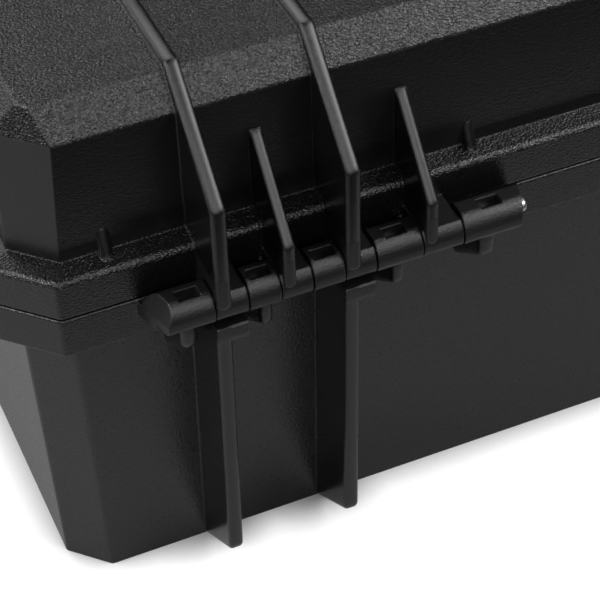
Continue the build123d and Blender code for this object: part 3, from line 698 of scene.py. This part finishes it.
class CASE_OT_line_base(bpy.types.Operator):
    """Makes the foam floor and the foam round the base's walls"""
    bl_idname = "case.line_base"
    bl_label = "Line base"

    def execute(self, context):
        s = context.scene.case_foam
        material = foam_material("foam_lining", s.colour)
        corner = 0.0088
        low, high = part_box("base_foam_floor")
        sunk = 0.0008
        edge = 0.006
        edge_drop = 0.0035
        bumps_per_metre = 14.0
        bump_height = 0.0006
        slice_z = 0.3

        def crowned(x, y):
            to_edge = min(high.x - abs(x), high.y - abs(y))
            crown = min(1.0, to_edge / edge)
            uneven = noise.noise(Vector((x, y, slice_z)) * bumps_per_metre) * bump_height
            return high.z - sunk - edge_drop * (1 - crown) ** 2 + uneven

        floor = pad("base_foam_pad", low, high, corner, s.step * 2, crowned,
                    lambda x, y: low.z, material)
        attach(floor, "base")
        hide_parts("base_foam_floor")

        low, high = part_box("base_foam_wall")
        thick = 0.018
        soft = 0.003
        bulge = soft * 0.3
        draft = 0.0031
        section = (
            (draft, low.z), (bulge, high.z - soft), (soft, high.z),
            (thick - soft, high.z), (thick - bulge, high.z - soft), (thick + draft, low.z))
        bm = bmesh.new()
        closed_sleeve(bm, [
            octagon_points(high.x - inset, high.y - inset, corner, z)
            for inset, z in section])
        lining = finish_mesh("base_foam_lining", bm, material, smooth=False)
        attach(lining, "base")
        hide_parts("base_foam_wall")
        return {"FINISHED"}


def softbox(name, place, target, width, height, power):
    """Area lamp that faces a point."""
    lamp = bpy.data.lights.new(name, "AREA")
    lamp.shape = "RECTANGLE"
    lamp.size = width
    lamp.size_y = height
    lamp.energy = power
    box = bpy.data.objects.new(name, lamp)
    box.location = place
    aim = Vector(target) - Vector(place)
    box.rotation_mode = "QUATERNION"
    box.rotation_quaternion = aim.to_track_quat("-Z", "Y")
    bpy.context.scene.collection.objects.link(box)


def background_rays(tree):
    """1 for the rays that see the white surroundings."""
    light = add(tree, "ShaderNodeLightPath").outputs
    return math_node(tree, "MAXIMUM", light["Is Camera Ray"], light["Is Transmission Ray"])


def sheet_material(s):
    """Grey for the case's reflections and white for the camera, but for a soft shadow near the
    case: the lamps' own shadow with a painted contact shadow over it.
    """
    painted_shadow_full, painted_shadow_end = 0.30, 0.88
    material = bpy.data.materials.new("floor_white")
    material.use_nodes = True
    tree = material.node_tree
    shader = tree.nodes["Principled BSDF"]
    shader.inputs["Base Color"].default_value = (*(s.sheet_grey,) * 3, 1.0)
    shader.inputs["Roughness"].default_value = 0.9
    shader.inputs["Specular IOR Level"].default_value = 0.0
    shader.inputs["Emission Color"].default_value = WHITE
    # Ambient occlusion dims the camera's white near the case: a painted contact shadow over the
    # lamps' own shadow
    open_sky = add(
        tree, "ShaderNodeAmbientOcclusion", {"samples": 12}, Distance=s.painted_shadow_reach)
    clear_of_painted_shadow = ramp(tree, open_sky.outputs["AO"], painted_shadow_full, painted_shadow_end)
    glow = math_node(tree, "MULTIPLY", clear_of_painted_shadow, s.sheet_glow)
    seen_glow = math_node(tree, "MULTIPLY", background_rays(tree), glow)
    tree.links.new(seen_glow, shader.inputs["Emission Strength"])
    return material


def set_sky(scene, strength):
    """White for the camera and a dim even light for everything else."""
    world = scene.world or bpy.data.worlds.new("Studio")
    scene.world = world
    world.use_nodes = True
    tree = world.node_tree
    tree.nodes.clear()
    dim = add(tree, "ShaderNodeBackground", Color=WHITE, Strength=strength)
    white = add(tree, "ShaderNodeBackground", Color=WHITE, Strength=1.0)
    both = add(
        tree, "ShaderNodeMixShader", i0=background_rays(tree), i1=dim.outputs[0],
        i2=white.outputs[0])
    add(tree, "ShaderNodeOutputWorld", i0=both.outputs[0])


def place_camera(scene, lens):
    """The photograph's view."""
    camera = bpy.data.objects.new("camera", bpy.data.cameras.new("camera"))
    turn = Matrix((CAMERA_RIGHT, -CAMERA_DOWN, -CAMERA_AHEAD)).transposed().to_4x4()
    camera.matrix_world = Matrix.Translation(CAMERA_PLACE) @ turn
    camera.data.lens = lens
    camera.data.sensor_width = SENSOR_WIDTH
    camera.data.clip_start = NEAREST_SEEN
    camera.data.clip_end = FARTHEST_SEEN
    scene.collection.objects.link(camera)
    scene.camera = camera


class CASE_OT_studio(bpy.types.Operator):
    """Sets the white floor, the soft lamps and the camera"""
    bl_idname = "case.studio"
    bl_label = "Set studio"

    def execute(self, context):
        s = context.scene.case_studio
        middle = s.sheet_edge - s.sheet_depth / 2
        bpy.ops.mesh.primitive_plane_add(size=1.0, location=(0, middle, 0))
        floor = context.object
        floor.name = "studio_floor"
        floor.scale = (s.sheet_width, s.sheet_depth, 1.0)
        floor.data.materials.append(sheet_material(s))
        set_sky(context.scene, s.sky)
        for name, (place, target, width, height) in SOFTBOXES.items():
            power = getattr(s, name + "_power")
            softbox(name + "_softbox", place, target, width, height, power)
        place_camera(context.scene, s.lens)
        context.scene.view_settings.view_transform = "Standard"
        return {"FINISHED"}


OPERATORS = (CASE_OT_finish_shells, CASE_OT_finish_fittings, CASE_OT_finish_steel,
             CASE_OT_line_lid, CASE_OT_line_base, CASE_OT_studio)


class CASE_PT_panel(bpy.types.Panel):
    """Lists the steps that dress the case"""
    bl_idname = "CASE_PT_panel"
    bl_label = "Flight case"
    bl_space_type = "VIEW_3D"
    bl_region_type = "UI"
    bl_category = "Flight case"

    def draw(self, context):
        for operator in OPERATORS:
            self.layout.operator(operator.bl_idname)
        for settings in SETTINGS:
            values = getattr(context.scene, settings)
            box = self.layout.box()
            for name in values.__annotations__:
                box.prop(values, name)


SETTINGS = {"case_shell": ShellFinish, "case_fittings": FittingFinish,
            "case_foam": FoamSizes, "case_studio": StudioSettings}


def register():
    for kind in (*SETTINGS.values(), *OPERATORS, CASE_PT_panel):
        bpy.utils.register_class(kind)
    for name, kind in SETTINGS.items():
        setattr(bpy.types.Scene, name, bpy.props.PointerProperty(type=kind))


def unregister():
    for name in SETTINGS:
        delattr(bpy.types.Scene, name)
    for kind in reversed((*SETTINGS.values(), *OPERATORS, CASE_PT_panel)):
        bpy.utils.unregister_class(kind)


def main():
    register()
    for operator in OPERATORS:
        category, name = operator.bl_idname.split(".")
        getattr(getattr(bpy.ops, category), name)()


if __name__ == "__main__":
    main()
